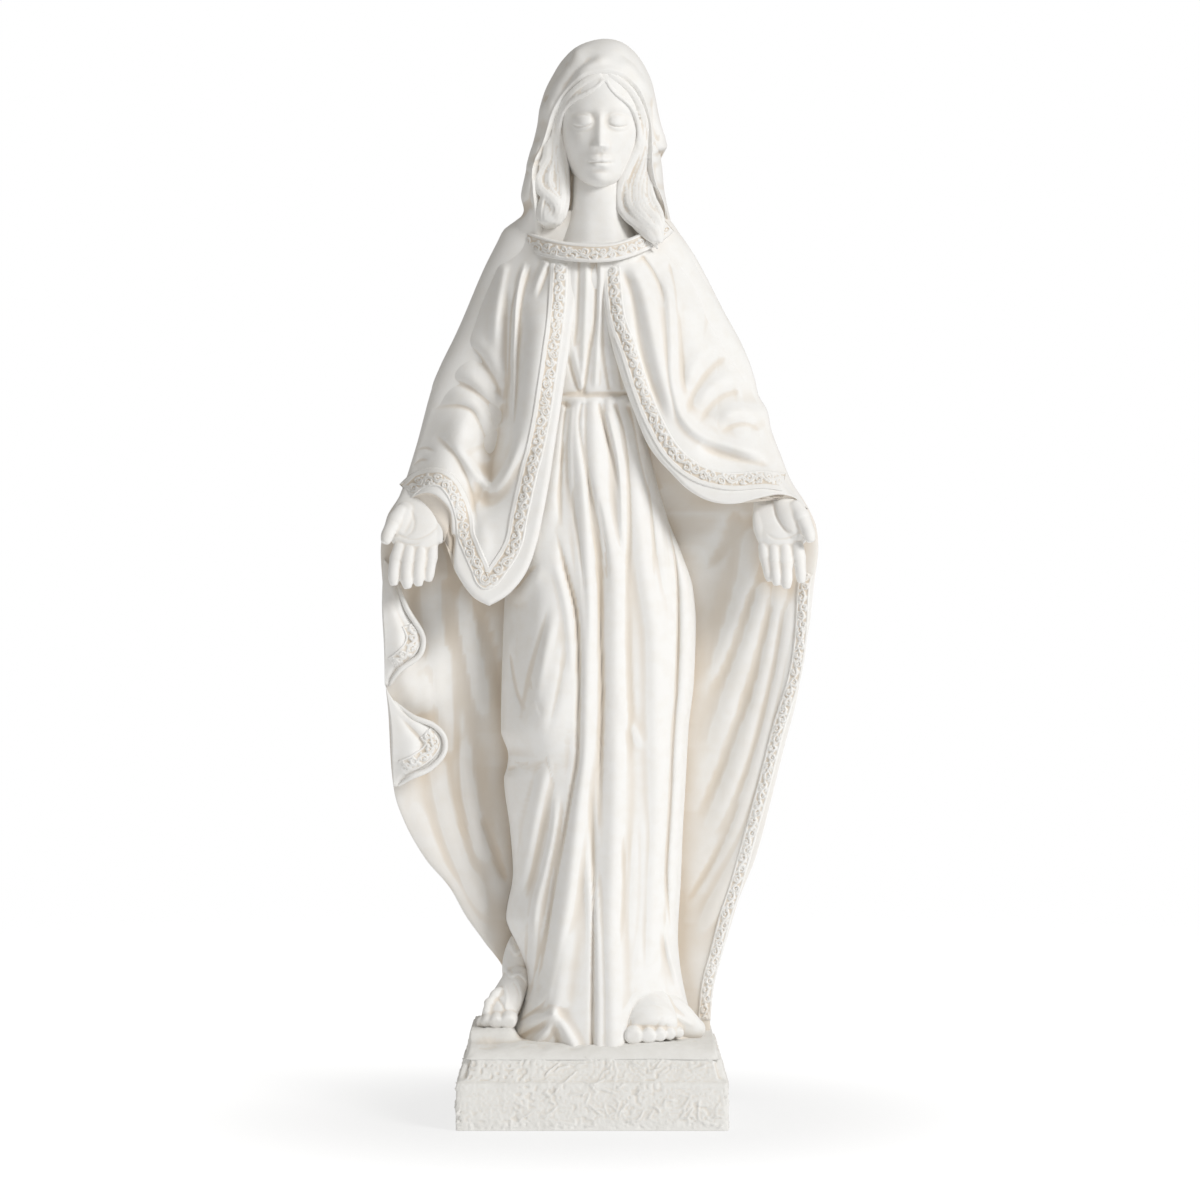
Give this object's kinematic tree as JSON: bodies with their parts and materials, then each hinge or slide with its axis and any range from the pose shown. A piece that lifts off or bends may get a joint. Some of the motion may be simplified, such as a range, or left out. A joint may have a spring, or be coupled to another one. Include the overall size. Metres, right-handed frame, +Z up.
{
  "type": "virgin mary statue",
  "caption": "Standing veiled woman with open hands, lowered eyes, a cloak with embroidered borders and a long folded gown, cast in one piece with a low chamfered plinth.",
  "frame": {"origin": "centre of the plinth's underside", "axes": "+Z up the figure, the figure faces -Y, +X to the right of a viewer in front of it"},
  "size_m": [0.2483, 0.123, 0.61],
  "materials": {
    "cast_resin": "matte off-white cast resin with a warm patina in the recesses"
  },
  "bodies": {
    "root": {"statue": "cast_resin"}
  },
  "joints": []
}
